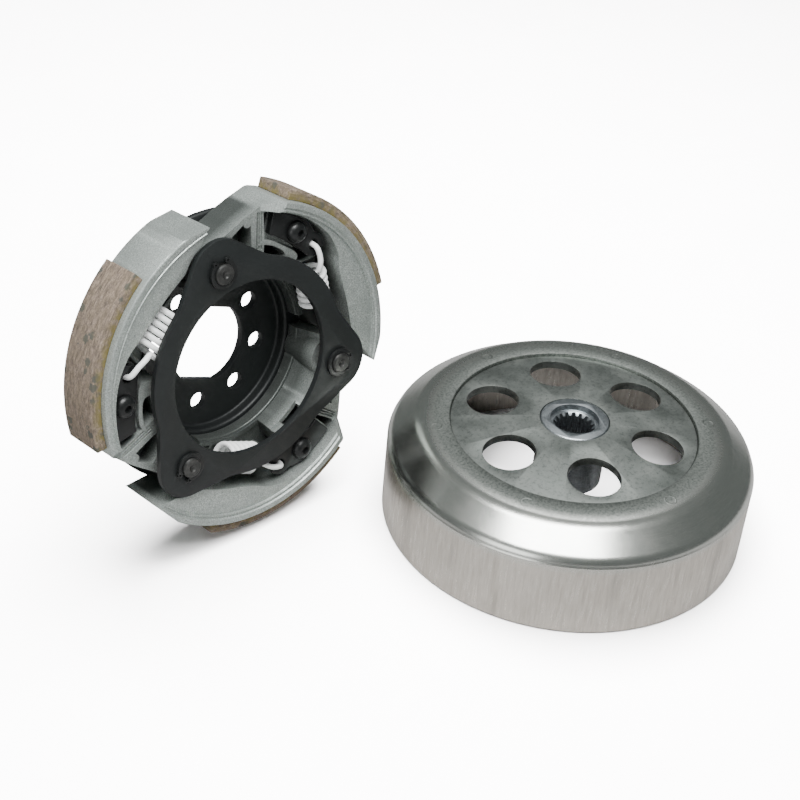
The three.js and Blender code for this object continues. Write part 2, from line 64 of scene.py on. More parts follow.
# ---- Clutch dimensions --------------------------------------------------------------------
# SCREW and HOOK are (radius, angle), like every point on a shoe; spans are angles.
GAP = 0.3
PIN_CIRCLE = 41.7
SHOE_BACK = -24.5
SHOE_R = 62
LINING_R = 66
LINING_IN_R = SHOE_R + 0.05
LINING_BACK = -22.3
LINING_FRONT = -4.5
LINING_SPAN = (34.5, 93)
INNER_R = 34.5
SCREW = (51.3, 45.5)
HOOK = (50.2, 57.3)
ANCHOR_FRONT = -7.3
ANCHOR_BACK = -9.8

# ---- Bell dimensions ----------------------------------------------------------------------
# Radii and heights on the bell's axis, z = 0 at its rim; slopes are degrees from level.
BELL_R = 70.3
BELL_WALL = 2.8
WALL_TOP = 30.2
SHOULDER_IN = 56
SHOULDER_Z = 40.95
CREST_R = 10
CONE_SLOPE = 36
CONE_LENGTH = 8.4
CORNER_R = 6
CORNER_SLOPE = 74
DOME_SLOPE = 5.6
SHEET = 2.6
FLANGE_IN_R = 47.3
DISC_STEP = 1.2
DISC_SHEET = 3
DISC_R = 56.5
HOLE_COUNT = 6
LIGHTENING_CIRCLE = 32.8
LIGHTENING_HOLE_R = 10
WELD_CIRCLE = 52.7
WELD_R = 2.1
WELD_BEAD = 0.45
WELD_HEIGHT = 0.11
HUB_R = 13.3
HUB_TOP = 44.1
HUB_SEAT_R = 16
HUB_BOTTOM = 17
HUB_FLANGE = 4
HUB_START_R = 5
HUB_COUNTERBORE_R = 9.3
HUB_COUNTERBORE_Z = 41.6
BORE_CHAMFER = 1.4
SPLINE_TEETH = 18
SPLINE_TIP_R = 6.9
SPLINE_ROOT_R = 7.9
SPLINE_GROOVE = (0, 0.42)
SPLINE_TOOTH = (0.54, 0.88)

# ---- Carrier dimensions -------------------------------------------------------------------
# FRONT and BACK are heights along the clutch's axis; TURN is in degrees.
PLATE_R = 53.5
FLANGE_FRONT = -25
FLANGE_BACK = -28
DISH_FRONT = -29.3
DISH_BACK = -32.3
DISH_R = 33
DISH_BEND_R = 1.1
PLATE_START_R = 6
PLATE_BORE_R = 16
PLATE_BORE_FLAT = 14.2
PLATE_BORE_TURN = -214
PLATE_HOLES = 8
PLATE_HOLE_R = 3.3
PLATE_HOLE_CIRCLE = 22.8
PLATE_HOLE_TURN = -74.5
RETAINER_FRONT = -2.3
RETAINER_BACK = -4.5
RETAINER_IN_R = 33.4
RETAINER_OUT_R = 42
RETAINER_LOBE_R = 12.3
LOBE_HALF_ANGLE = 48
LOBE_BLEND_ANGLE = 29
PIN_R = 5
PIN_NECK_R = 3.8
PIN_GROOVE_R = 3.1
PIN_HEAD_R = 5.4
PIN_HEAD = 2
CIRCLIP_FRONT = -1
CIRCLIP_BACK = -2
CIRCLIP_IN_R = 3.45
CIRCLIP_OUT_R = 5.5
CIRCLIP_EAR_R = 1.0
CIRCLIP_HOLE_R = 0.4
CIRCLIP_OPENING = 24
CIRCLIP_TURN = (-7, 0, 3)

# ---- Shoe dimensions ----------------------------------------------------------------------
# Heights step back from the rim to the trough's floor; the ramp joins the deck to the rim.
RIM_FRONT = -2
LIP_R = 58
FACE = -3.1
FACE_FALL = 0.2
DECK = -8
POCKET_DEPTH = -16
PAD_Z = -10.1
WEB_Z = -12
FLOOR_Z = -19
BOSS_R = 8.2
RAMP_ANGLE = 29.3
RAMP_HALF = 3.3
RAMP_CUT = 9
RAMP_REACH = (54, 66)
GROOVE_HALF = 0.42
GROOVE_DEPTH = 0.9
TAPER_START = 107
TIP_R = 60.3
TIP_END = 120.6
PAD_START = 31
PAD_END = 50
RETAINER_CLEAR = 1.0
STUD_R = 1.7
STUD = (52.9, 20.6)
SCREW_SHANK_R = 2.2
SCREW_HOLE_R = 2.5
SCREW_HEAD_R = 4.2
SCREW_END = -16.5
SOCKET_R = 1.55
HOOK_LOBE_R = 4.6
HOOK_HOLE_R = 1.9

# ---- Spring dimensions --------------------------------------------------------------------
# The coil's ends are (x, y) in its shoe's frame.
WIRE_R = 1.05
COIL_R = 5.2
COIL_TURNS = 6
STEPS_PER_TURN = 20
COIL_Z = -11.4
COIL_START = (16.1, -40.3)
COIL_END = (0.8, -38.8)
LOOP_Z = -6.25

# ---- Camera and floor ---------------------------------------------------------------------
LENS = 76.5
SENSOR = 36.0
AIM_FROM_CLUTCH = (97.6, 24.0)
AIM = Vector((CLUTCH_XY[0] + AIM_FROM_CLUTCH[0], CLUTCH_XY[1] + AIM_FROM_CLUTCH[1], 0)) * MM
DISTANCE = 720.7 * MM
AZIMUTH = 0.778
ELEVATION = 0.62
ROLL = 0.09

FLOOR_HALF = 3.0
FLOOR_SEEN = -0.2
FLOOR_LIT = -0.6
SEEN_TONE = 0.92
LIT_TONE = 0.36

# ---- Frames -------------------------------------------------------------------------------
CLUTCH_HEIGHT = LINING_R * math.cos(LEAN) - LINING_BACK * math.sin(LEAN)
CLUTCH_PLACE = (
    Matrix.Translation((*CLUTCH_XY, CLUTCH_HEIGHT)) @ Matrix.Rotation(math.pi / 2 - LEAN, 4, "X")
)
BELL_PLACE = Matrix.Translation((*BELL_XY, 0))


def shoe_place(index):
    return CLUTCH_PLACE @ Matrix.Rotation(math.radians(FIRST_PIN - SHOE_STEP * index), 4, "Z")


# ---- Outlines -----------------------------------------------------------------------------
def polar(r, degrees):
    angle = math.radians(degrees)
    return (r * math.cos(angle), r * math.sin(angle))


def on_shoe(r, degrees):
    return polar(r, -degrees)


def arc(r, start, end, step=2.0, centre=(0, 0)):
    count = max(1, math.ceil(abs(end - start) / step))
    points = []
    for i in range(count + 1):
        x, y = polar(r, start + (end - start) * i / count)
        points.append((x + centre[0], y + centre[1]))
    return points


def shoe_arc(r, start, end, step=2.0):
    return arc(r, -start, -end, step)


def circle(r, sides=48, centre=(0, 0)):
    return arc(r, 0, 360, 360 / sides, centre)[:-1]


def turned(points, degrees):
    c, s = polar(1, degrees)
    return [(x * c - y * s, x * s + y * c) for x, y in points]


def smooth_line(points, per_span=6):
    """A Catmull-Rom curve through the points."""
    last = len(points) - 1
    out = []
    for i in range(last):
        quad = [points[min(max(i + k, 0), last)] for k in (-1, 0, 1, 2)]
        for j in range(per_span):
            t = j / per_span
            weights = (
                -0.5 * t + t * t - 0.5 * t ** 3,
                1 - 2.5 * t * t + 1.5 * t ** 3,
                0.5 * t + 2 * t * t - 1.5 * t ** 3,
                -0.5 * t * t + 0.5 * t ** 3,
            )
            out.append(tuple(sum(w * v for w, v in zip(weights, values)) for values in zip(*quad)))
    out.append(tuple(points[-1]))
    return out


def rounded(points, radius, steps=4):
    """The closed outline with each corner rounded."""
    out = []
    count = len(points)
    for i in range(count):
        before, here, after = (Vector(points[(i + k) % count]) for k in (-1, 0, 1))
        to_before, to_after = before - here, after - here
        reach = min(radius, 0.45 * to_before.length, 0.45 * to_after.length)
        start = here + to_before.normalized() * reach
        end = here + to_after.normalized() * reach
        for k in range(steps + 1):
            t = k / steps
            out.append(tuple((1 - t) ** 2 * start + 2 * t * (1 - t) * here + t * t * end))
    return out


# ---- Solids -------------------------------------------------------------------------------
def solid(verts, faces):
    bm = bmesh.new()
    made = [bm.verts.new(v) for v in verts]
    for face in faces:
        bm.faces.new([made[i] for i in face])
    bmesh.ops.remove_doubles(bm, verts=bm.verts, dist=1e-5)
    bmesh.ops.recalc_face_normals(bm, faces=bm.faces)
    if bm.calc_volume(signed=True) < 0:
        bmesh.ops.reverse_faces(bm, faces=bm.faces)
    mesh = bpy.data.meshes.new("solid")
    bm.to_mesh(mesh)
    bm.free()
    obj = bpy.data.objects.new("solid", mesh)
    bpy.context.scene.collection.objects.link(obj)
    return obj


def loft(low_outline, low, high_outline, high):
    """A solid between two outlines of equal length."""
    n = len(low_outline)
    verts = [(x, y, low) for x, y in low_outline] + [(x, y, high) for x, y in high_outline]
    faces = [tuple(range(n))[::-1], tuple(range(n, 2 * n))]
    faces += [(i, (i + 1) % n, n + (i + 1) % n, n + i) for i in range(n)]
    return solid(verts, faces)


def prism(outline, low, high):
    return loft(outline, low, outline, high)


def rod(r, low, high, centre=(0, 0), sides=48):
    return prism(circle(r, sides, centre), low, high)


def lathe(profile, segments=144, centre=(0, 0)):
    """A closed profile of (radius, height) turned about Z. Points at radius 0 close the ends."""
    verts = []
    rings = []
    for r, z in profile:
        if r < 1e-6:
            rings.append([len(verts)] * segments)
            verts.append((centre[0], centre[1], z))
            continue
        rings.append(list(range(len(verts), len(verts) + segments)))
        for k in range(segments):
            x, y = polar(r, 360 * k / segments)
            verts.append((x + centre[0], y + centre[1], z))
    faces = []
    for low, high in zip(rings, rings[1:] + rings[:1]):
        for k in range(segments):
            after = (k + 1) % segments
            face = list(dict.fromkeys([low[k], low[after], high[after], high[k]]))
            if len(face) > 2:
                faces.append(face)
    return solid(verts, faces)


def combine(base, tools, operation):
    for tool in tools:
        modifier = base.modifiers.new("cut", "BOOLEAN")
        modifier.object = tool
        modifier.operation = operation
        modifier.solver = "MANIFOLD"
    graph = bpy.context.evaluated_depsgraph_get()
    mesh = bpy.data.meshes.new_from_object(base.evaluated_get(graph))
    base.modifiers.clear()
    old = base.data
    base.data = mesh
    bpy.data.meshes.remove(old)
    for tool in tools:
        bpy.data.objects.remove(tool)
    return base


def join(base, *tools):
    return combine(base, tools, "UNION")


def cut(base, *tools):
    return combine(base, tools, "DIFFERENCE")


def keep(base, tool):
    return combine(base, [tool], "INTERSECT")


def soften(obj, width, segments=2, angle=32, flat=0.6):
    """Merges a solid's faces that are flat to within an angle and rounds its edges."""
    bm = bmesh.new()
    bm.from_mesh(obj.data)
    bmesh.ops.remove_doubles(bm, verts=bm.verts, dist=0.02)
    bmesh.ops.dissolve_limit(bm, angle_limit=math.radians(flat), verts=bm.verts, edges=bm.edges)
    bm.to_mesh(obj.data)
    bm.free()
    modifier = obj.modifiers.new("edges", "BEVEL")
    modifier.width = width
    modifier.segments = segments
    modifier.limit_method = "ANGLE"
    modifier.angle_limit = math.radians(angle)
    modifier.use_clamp_overlap = True
    graph = bpy.context.evaluated_depsgraph_get()
    mesh = bpy.data.meshes.new_from_object(obj.evaluated_get(graph))
    obj.modifiers.clear()
    obj.data = mesh
    return obj


def dress(obj, name, matrix, slot, nodes, sharp):
    """Gives a finished solid its name, place, material, slot and the CAD nodes it replaces."""
    obj.name = name
    obj.data.name = name
    obj.data.transform(Matrix.Scale(MM, 4) @ matrix)
    obj.data.polygons.foreach_set("use_smooth", [True] * len(obj.data.polygons))
    obj.data.set_sharp_from_angle(angle=math.radians(sharp))
    obj.data.materials.clear()
    obj.data.materials.append(LOOKS[slot])
    if nodes:
        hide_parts(*nodes)


def place(obj, name, matrix, body, slot, nodes=()):
    """Dresses a finished solid and fastens it to its body."""
    dress(obj, name, matrix, slot, nodes, SHARP_ANGLE)
    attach(obj, body)


def duplicate(obj):
    copy = obj.copy()
    copy.data = obj.data.copy()
    bpy.context.scene.collection.objects.link(copy)
    return copy


# ---- Node materials -----------------------------------------------------------------------
class Nodes:
    """A material's node tree, with short calls for the nodes used here."""

    def __init__(self, name):
        self.material = bpy.data.materials.new(name)
        self.material.use_nodes = True
        self.tree = self.material.node_tree
        self.shader = self.tree.nodes["Principled BSDF"]
        self.position = self.new("ShaderNodeTexCoord").outputs["Object"]

    def new(self, kind, **settings):
        node = self.tree.nodes.new(kind)
        for key, value in settings.items():
            setattr(node, key, value)
        return node

    def link(self, source, target):
        if isinstance(source, (int, float)):
            target.default_value = source
        elif isinstance(source, tuple):
            target.default_value = (*source, 1)
        else:
            self.tree.links.new(source, target)

    def mapped(self, source, location=(0, 0, 0), rotation=(0, 0, 0), scale=(1, 1, 1)):
        node = self.new("ShaderNodeMapping")
        node.inputs["Location"].default_value = location
        node.inputs["Rotation"].default_value = rotation
        node.inputs["Scale"].default_value = scale
        self.link(source, node.inputs["Vector"])
        return node.outputs["Vector"]

    def split(self, vector):
        node = self.new("ShaderNodeSeparateXYZ")
        self.link(vector, node.inputs[0])
        return node.outputs

    def vector(self, x, y, z):
        node = self.new("ShaderNodeCombineXYZ")
        for source, target in zip((x, y, z), node.inputs):
            self.link(source, target)
        return node.outputs[0]

    def noise(self, size, detail=4, roughness=0.55, where=None):
        """Noise whose features are about size millimetres across."""
        node = self.new("ShaderNodeTexNoise")
        node.inputs["Scale"].default_value = 1 / (size * MM)
        node.inputs["Detail"].default_value = detail
        node.inputs["Roughness"].default_value = roughness
        self.link(where or self.position, node.inputs["Vector"])
        return node.outputs["Fac"]

    def cells(self, size):
        """The distance from the middle of cells about size millimetres across."""
        node = self.new("ShaderNodeTexVoronoi")
        node.inputs["Scale"].default_value = 1 / (size * MM)
        self.link(self.position, node.inputs["Vector"])
        return node.outputs["Distance"]

    def ramp(self, source, *stops):
        """Each stop is (position, colour) or (position, value)."""
        node = self.new("ShaderNodeValToRGB")
        elements = node.color_ramp.elements
        while len(elements) < len(stops):
            elements.new(0.5)
        for element, (position, value) in zip(elements, stops):
            element.position = position
            colour = value if isinstance(value, tuple) else (value,) * 3
            element.color = (*colour, 1)
        self.link(source, node.inputs["Fac"])
        return node.outputs["Color"]

    def mix(self, factor, a, b):
        node = self.new("ShaderNodeMix", data_type="RGBA")
        self.link(factor, node.inputs["Factor"])
        self.link(a, node.inputs["A"])
        self.link(b, node.inputs["B"])
        return node.outputs["Result"]

    def math(self, operation, a, b=0.0):
        node = self.new("ShaderNodeMath", operation=operation)
        self.link(a, node.inputs[0])
        self.link(b, node.inputs[1])
        return node.outputs[0]

    def length(self, x, y):
        """The distance from the origin to (x, y)."""
        squares = [self.math("MULTIPLY", side, side) for side in (x, y)]
        return self.math("SQRT", self.math("ADD", *squares))

    def fade(self, value, zero_at, one_at):
        """0 where a length is zero_at millimetres, 1 where it is one_at."""
        node = self.new("ShaderNodeMapRange")
        self.link(value, node.inputs["Value"])
        node.inputs["From Min"].default_value = zero_at * MM
        node.inputs["From Max"].default_value = one_at * MM
        return node.outputs["Result"]

    def bump(self, height, distance, strength=1.0, under=None):
        """Bump whose height of 1 stands distance millimetres proud."""
        node = self.new("ShaderNodeBump")
        node.inputs["Distance"].default_value = distance * MM
        node.inputs["Strength"].default_value = strength
        self.link(height, node.inputs["Height"])
        if under is not None:
            self.link(under, node.inputs["Normal"])
        return node.outputs["Normal"]

    def clutch_point(self):
        """The position in the clutch's frame, as (x, y, distance along its axis)."""
        turn = CLUTCH_PLACE.to_3x3().inverted()
        origin = turn @ CLUTCH_PLACE.to_translation() * -MM
        return self.split(self.mapped(self.position, origin, turn.to_euler()))

    def bell_point(self):
        """The position about the bell's axis, as (angle, radius, height)."""
        x, y, height = self.split(self.mapped(self.position, (-BELL_XY[0] * MM, -BELL_XY[1] * MM, 0)))
        return self.math("ARCTAN2", y, x), self.length(x, y), height

    def recess(self, shallow, deep):
        """0 on the clutch's front and its outside, 1 on inside walls deeper than given; the mask for
        painted shade in the shoes' recesses.
        """
        x, y, z = self.clutch_point()
        inside = self.fade(self.length(x, y), LIP_R + 0.5, LIP_R - 0.5)
        return self.math("MULTIPLY", self.fade(z, shallow, deep), inside)

    def finish(self, colour, roughness, normal=None, metallic=0.0):
        self.link(colour, self.shader.inputs["Base Color"])
        self.link(roughness, self.shader.inputs["Roughness"])
        self.shader.inputs["Metallic"].default_value = metallic
        if normal is not None:
            self.link(normal, self.shader.inputs["Normal"])
        return self.material


def cast_alloy():
    """Die-cast aluminium: grainy, with a mottled skin, dark pits, and painted shade that darkens its
    recesses.
    """
    look = Nodes("cast_alloy")
    grain = look.noise(0.5, 3, 0.75)
    sparkle = look.cells(0.55)
    blotch = look.noise(9, 4)
    pits = look.cells(3.2)
    tone = look.ramp(
        grain, (0.30, (0.20, 0.225, 0.21)), (0.52, (0.38, 0.415, 0.395)), (0.72, (0.68, 0.72, 0.69)),
    )
    tone = look.mix(look.ramp(sparkle, (0.05, 0.5), (0.16, 0.0)), tone, (0.92, 0.94, 0.92))
    tone = look.mix(look.ramp(blotch, (0.38, 0.0), (0.66, 0.55)), tone, (0.30, 0.33, 0.315))
    tone = look.mix(look.ramp(pits, (0.03, 0.85), (0.07, 0.0)), tone, (0.08, 0.09, 0.085))
    # Painted shade: inside the lip, the colour turns near-black on walls that lie deeper in the recesses.
    tone = look.mix(look.math("MULTIPLY", look.recess(-6.5, -15), 0.85), tone, (0.045, 0.052, 0.048))
    roughness = look.ramp(grain, (0.3, 0.58), (0.7, 0.42))
    normal = look.bump(grain, 0.06, 0.9)
    normal = look.bump(blotch, 0.12, 0.5, normal)
    return look.finish(tone, roughness, normal, metallic=0.75)


def friction_material():
    """Moulded lining: brown compound drawn out round the shoe, with large dark lumps."""
    look = Nodes("friction_material")
    x, y, z = look.clutch_point()
    radius = look.length(x, y)
    along = look.math("MULTIPLY", look.math("ARCTAN2", y, x), LINING_R * MM)
    drawn = look.mapped(look.vector(along, radius, z), scale=(0.28, 1, 1))
    streaks = look.noise(1.1, 6, 0.8, drawn)
    grain = look.noise(0.7, 5, 0.8)
    patch = look.noise(9, 5, 0.6)
    tone = look.ramp(
        streaks, (0.34, (0.030, 0.025, 0.021)), (0.46, (0.13, 0.10, 0.076)),
        (0.56, (0.215, 0.165, 0.128)), (0.70, (0.36, 0.29, 0.23)),
    )
    tone = look.mix(look.ramp(grain, (0.38, 0.7), (0.52, 0.0)), tone, (0.05, 0.043, 0.036))
    tone = look.mix(look.ramp(patch, (0.45, 0.0), (0.75, 0.45)), tone, (0.17, 0.13, 0.095))
    lumps = look.cells(5.5)
    broken = look.math("ADD", lumps, look.math("MULTIPLY", look.noise(1.6, 4, 0.7), 0.7))
    tone = look.mix(look.ramp(broken, (0.61, 0.85), (0.66, 0.0)), tone, (0.045, 0.052, 0.045))
    beside_shoe = look.ramp(radius, ((LINING_IN_R + 0.65) * MM, 1.0), ((LINING_IN_R + 1.25) * MM, 0.0))
    glue = look.math("MULTIPLY", beside_shoe, look.ramp(look.noise(3, 4, 0.6), (0.42, 0.2), (0.55, 1.0)))
    tone = look.mix(glue, tone, (0.13, 0.105, 0.03))
    normal = look.bump(streaks, 0.22, 0.9)
    normal = look.bump(grain, 0.12, 0.7, normal)
    return look.finish(tone, 0.92, normal)


def satin_black(name, tone=(0.010, 0.012, 0.012), rough=(0.42, 0.55)):
    """Black coating on pressed steel, slightly uneven, rubbed lighter in places."""
    look = Nodes(name)
    fine = look.noise(0.6, 4, 0.6)
    blotch = look.noise(12, 4)
    rubbed = look.ramp(look.noise(5, 6, 0.7), (0.62, 0.0), (0.74, 0.5))
    worn, pale = (tuple(gain * v for v in tone) for gain in (1.5, 2.4))
    colour = look.mix(look.ramp(blotch, (0.35, 0.0), (0.7, 0.6)), tone, worn)
    colour = look.mix(rubbed, colour, pale)
    roughness = look.ramp(fine, (0.3, rough[0]), (0.7, rough[1]))
    normal = look.bump(fine, 0.02, 0.6)
    return look.finish(colour, roughness, normal, metallic=0.35)


def white_coating():
    """White paint on spring wire, a little grey where it is rubbed."""
    look = Nodes("white_coating")
    fine = look.noise(0.8, 4, 0.6)
    dirt = look.noise(3.5, 5, 0.65)
    rubbed = look.ramp(dirt, (0.52, 0.0), (0.72, 0.6))
    colour = look.mix(rubbed, (0.83, 0.845, 0.835), (0.60, 0.615, 0.60))
    return look.finish(colour, look.ramp(fine, (0.3, 0.30), (0.7, 0.42)), look.bump(fine, 0.03, 0.5))


def pin_steel():
    """Dark turned steel with worn, brighter ends."""
    look = Nodes("pin_steel")
    fine = look.noise(0.5, 4, 0.6)
    wear = look.noise(4.5, 4, 0.6)
    worn = look.ramp(wear, (0.40, 0.0), (0.65, 0.8))
    colour = look.mix(worn, (0.05, 0.052, 0.05), (0.10, 0.10, 0.097))
    roughness = look.ramp(fine, (0.3, 0.32), (0.7, 0.45))
    return look.finish(colour, roughness, look.bump(fine, 0.015, 0.5), metallic=0.9)


def brushed_steel():
    """The bell's drum: a wall with upright streaks, a bright turned cone and a dull speckled flange."""
    look = Nodes("brushed_steel")
    angle, radius, height = look.bell_point()
    speckle = look.noise(0.9, 5, 0.75)
    blotch = look.noise(14, 5, 0.6)

    rings = look.vector(look.math("MULTIPLY", angle, 0.004), radius, height)
    turned_marks = look.noise(0.35, 3, 0.6, rings)
    cone = look.ramp(turned_marks, (0.3, (0.50, 0.515, 0.485)), (0.7, (0.57, 0.585, 0.55)))
    cone = look.mix(look.ramp(speckle, (0.56, 0.0), (0.70, 0.35)), cone, (0.36, 0.375, 0.35))

    around = look.vector(look.math("MULTIPLY", angle, 0.07), 0.0, look.math("MULTIPLY", height, 0.10))
    upright = look.noise(1.3, 5, 0.7, around)
    broad = look.noise(11, 3, 0.6, around)
    wall = look.mix(look.ramp(upright, (0.40, 0.0), (0.66, 0.6)), (0.62, 0.585, 0.53), (0.40, 0.37, 0.33))
    wall = look.mix(look.ramp(broad, (0.56, 0.0), (0.70, 0.55)), wall, (0.32, 0.30, 0.27))

    on_wall = look.ramp(height, ((WALL_TOP - 1.7) * MM, 1.0), ((WALL_TOP + 0.8) * MM, 0.0))
    colour = look.mix(on_wall, cone, wall)
    colour = look.mix(look.ramp(blotch, (0.45, 0.0), (0.8, 0.35)), colour, (0.46, 0.445, 0.41))
    cone_roughness = look.ramp(blotch, (0.3, 0.22), (0.7, 0.27))
    wall_roughness = look.ramp(upright, (0.3, 0.24), (0.7, 0.38))
    roughness = look.mix(on_wall, cone_roughness, wall_roughness)

    ragged = look.math("ADD", radius, look.math("MULTIPLY", look.noise(1.2, 4, 0.7), 0.004))
    on_flange = look.ramp(ragged, ((SHOULDER_IN + 0.5) * MM, 1.0), ((SHOULDER_IN + 2.5) * MM, 0.0))
    on_flange = look.math("MULTIPLY", look.math("SUBTRACT", 1.0, on_wall), on_flange)
    spots = look.ramp(speckle, (0.42, 0.0), (0.62, 1.0))
    flange = look.mix(spots, (0.28, 0.30, 0.28), (0.15, 0.165, 0.154))
    colour = look.mix(on_flange, colour, flange)
    roughness = look.mix(on_flange, roughness, (0.4, 0.4, 0.4))

    normal = look.bump(turned_marks, 0.004, 0.5)
    normal = look.bump(look.math("MULTIPLY", upright, on_wall), 0.015, 0.4, normal)
    return look.finish(colour, roughness, normal, metallic=1.0)


def zinc_steel():
    """Zinc-coated sheet: greenish grey, finely speckled, with soft cloudy patches."""
    look = Nodes("zinc_steel")
    cloud = look.noise(11, 4, 0.55)
    fine = look.noise(0.6, 4, 0.7)
    spots = look.noise(1.6, 5, 0.8)
    colour = look.ramp(
        cloud, (0.32, (0.20, 0.22, 0.205)), (0.5, (0.24, 0.26, 0.245)), (0.7, (0.29, 0.31, 0.29)),
    )
    colour = look.mix(look.ramp(spots, (0.50, 0.0), (0.62, 0.6)), colour, (0.11, 0.121, 0.114))
    colour = look.mix(look.ramp(fine, (0.56, 0.0), (0.72, 0.5)), colour, (0.38, 0.40, 0.375))
    roughness = look.ramp(cloud, (0.3, 0.30), (0.7, 0.42))
    normal = look.bump(fine, 0.02, 0.7)
    normal = look.bump(cloud, 0.03, 0.3, normal)
    return look.finish(colour, roughness, normal, metallic=0.95)


def hub_steel():
    """Machined steel, slightly blue, with fine rings."""
    look = Nodes("hub_steel")
    angle, radius, height = look.bell_point()
    rings = look.vector(look.math("MULTIPLY", angle, 0.002), radius, height)
    marks = look.noise(0.3, 3, 0.6, rings)
    blotch = look.noise(3, 5, 0.6)
    colour = look.ramp(marks, (0.3, (0.20, 0.225, 0.24)), (0.7, (0.36, 0.385, 0.40)))
    colour = look.mix(look.ramp(blotch, (0.5, 0.0), (0.75, 0.5)), colour, (0.15, 0.15, 0.15))
    roughness = look.ramp(marks, (0.3, 0.28), (0.7, 0.42))
    return look.finish(colour, roughness, look.bump(marks, 0.02, 0.7), metallic=1.0)


def paper(name, tone):
    """Plain matt paper, very slightly cloudy."""
    look = Nodes(name)
    faint = look.noise(60, 3)
    dim = (0.97 * tone, 0.955 * tone, 0.955 * tone)
    full = (tone, 0.985 * tone, 0.985 * tone)
    return look.finish(look.ramp(faint, (0.3, dim), (0.7, full)), 0.7)


LOOKS = {
    "cast_alloy": cast_alloy(),
    "friction_material": friction_material(),
    "black_steel": satin_black("black_steel"),
    "black_oxide": satin_black("black_oxide", (0.008, 0.009, 0.009), (0.3, 0.45)),
    "white_coating": white_coating(),
    "pin_steel": pin_steel(),
    "brushed_steel": brushed_steel(),
    "zinc_steel": zinc_steel(),
    "hub_steel": hub_steel(),
}


# ---- Bell ---------------------------------------------------------------------------------
def dome_z(r):
    return SHOULDER_Z + (SHOULDER_IN - r) * math.tan(math.radians(DOME_SLOPE))


def shoulder(offset):
    """The drum's crest, cone and corner from the flange outwards, set in by an offset."""
    crest = (
        SHOULDER_IN - CREST_R * math.sin(math.radians(DOME_SLOPE)),
        SHOULDER_Z - CREST_R * math.cos(math.radians(DOME_SLOPE)),
    )
    points = arc(CREST_R - offset, 90 - DOME_SLOPE, 90 - CONE_SLOPE, 3, crest)
    slope = math.radians(CONE_SLOPE)
    end = (
        crest[0] + CREST_R * math.sin(slope) + CONE_LENGTH * math.cos(slope),
        crest[1] + CREST_R * math.cos(slope) - CONE_LENGTH * math.sin(slope),
    )
    corner = (end[0] - CORNER_R * math.sin(slope), end[1] - CORNER_R * math.cos(slope))
    return points + arc(CORNER_R - offset, 90 - CONE_SLOPE, 90 - CORNER_SLOPE, 4, corner)


def bell_drum():
    inner = BELL_R - BELL_WALL
    lip = FLANGE_IN_R
    profile = [
        (inner + 0.4, 0), (BELL_R - 0.5, 0), (BELL_R, 0.5), (BELL_R, WALL_TOP),
        (BELL_R - 0.12, WALL_TOP + 0.25), *shoulder(0)[::-1],
        (lip + 0.4, dome_z(lip)), (lip + 0.1, dome_z(lip) - 0.12), (lip, dome_z(lip) - 0.4),
        (lip, dome_z(lip) - SHEET), *shoulder(SHEET), (inner, WALL_TOP - 2), (inner, 0.4),
    ]
    return lathe(profile, 240)


def weld_ring(angle):
    """A spot weld's raised ring on the flange, a tenth of a millimetre proud."""
    x, y = polar(WELD_CIRCLE, angle)
    ring = lathe([
        (WELD_R - WELD_BEAD, -0.4), (WELD_R + WELD_BEAD, -0.4), (WELD_R + WELD_BEAD - 0.1, 0.03),
        (WELD_R, WELD_HEIGHT), (WELD_R - WELD_BEAD + 0.1, 0.03),
    ], 40)
    tilt = Matrix.Rotation(math.radians(angle), 4, "Z") @ Matrix.Rotation(math.radians(DOME_SLOPE), 4, "Y")
    ring.data.transform(Matrix.Translation((x, y, dome_z(WELD_CIRCLE))) @ tilt)
    return ring


def bell_disc():
    def top(r):
        return dome_z(r) - DISC_STEP

    def tuck(r):
        return dome_z(r) - SHEET - GAP / 3

    bore = HUB_R + 0.12
    inner = FLANGE_IN_R - 0.12
    profile = [
        (bore, top(bore)), (inner - 0.3, top(inner)), (inner, top(inner) - 0.3), (inner, tuck(inner)),
        (DISC_R, tuck(DISC_R)), (DISC_R, tuck(DISC_R) - DISC_SHEET), (inner, tuck(inner) - DISC_SHEET),
        (inner - 2, top(inner) - DISC_SHEET), (bore, top(bore) - DISC_SHEET),
    ]
    disc = lathe(profile, 240)
    holes = [
        rod(LIGHTENING_HOLE_R, 30, 50, polar(LIGHTENING_CIRCLE, HOLE_PHASE + 360 / HOLE_COUNT * i), 96)
        for i in range(HOLE_COUNT)
    ]
    return soften(cut(disc, *holes), width=0.35, segments=3, angle=40, flat=0.05)


def spline_outline():
    tooth = 360 / SPLINE_TEETH
    points = []
    for i in range(SPLINE_TEETH):
        for r, (start, end) in ((SPLINE_ROOT_R, SPLINE_GROOVE), (SPLINE_TIP_R, SPLINE_TOOTH)):
            points += arc(r, tooth * (i + start), tooth * (i + end), 4)
    return points


def splined_hub():
    seat = dome_z(HUB_R) - DISC_STEP - DISC_SHEET - GAP / 3
    profile = [
        (HUB_START_R, HUB_BOTTOM), (HUB_R - 0.8, HUB_BOTTOM), (HUB_R, HUB_BOTTOM + 0.8),
        (HUB_R, seat - HUB_FLANGE - 1), (HUB_SEAT_R, seat - HUB_FLANGE), (HUB_SEAT_R, seat), (HUB_R, seat),
        (HUB_R, HUB_TOP - 0.5), (HUB_R - 0.5, HUB_TOP), (HUB_START_R, HUB_TOP),
    ]
    chamfer = lathe([
        (0, HUB_COUNTERBORE_Z - BORE_CHAMFER), (SPLINE_TIP_R - 0.2, HUB_COUNTERBORE_Z - BORE_CHAMFER),
        (SPLINE_ROOT_R + 0.3, HUB_COUNTERBORE_Z + 0.1), (0, HUB_COUNTERBORE_Z + 0.1),
    ], 96)
    counterbore = rod(HUB_COUNTERBORE_R, HUB_COUNTERBORE_Z, HUB_TOP + 1, (0, 0), 96)
    spline = prism(spline_outline(), HUB_BOTTOM - 1, HUB_TOP + 1)
    hub = cut(lathe(profile), spline, counterbore, chamfer)
    return soften(hub, width=0.18, angle=35)


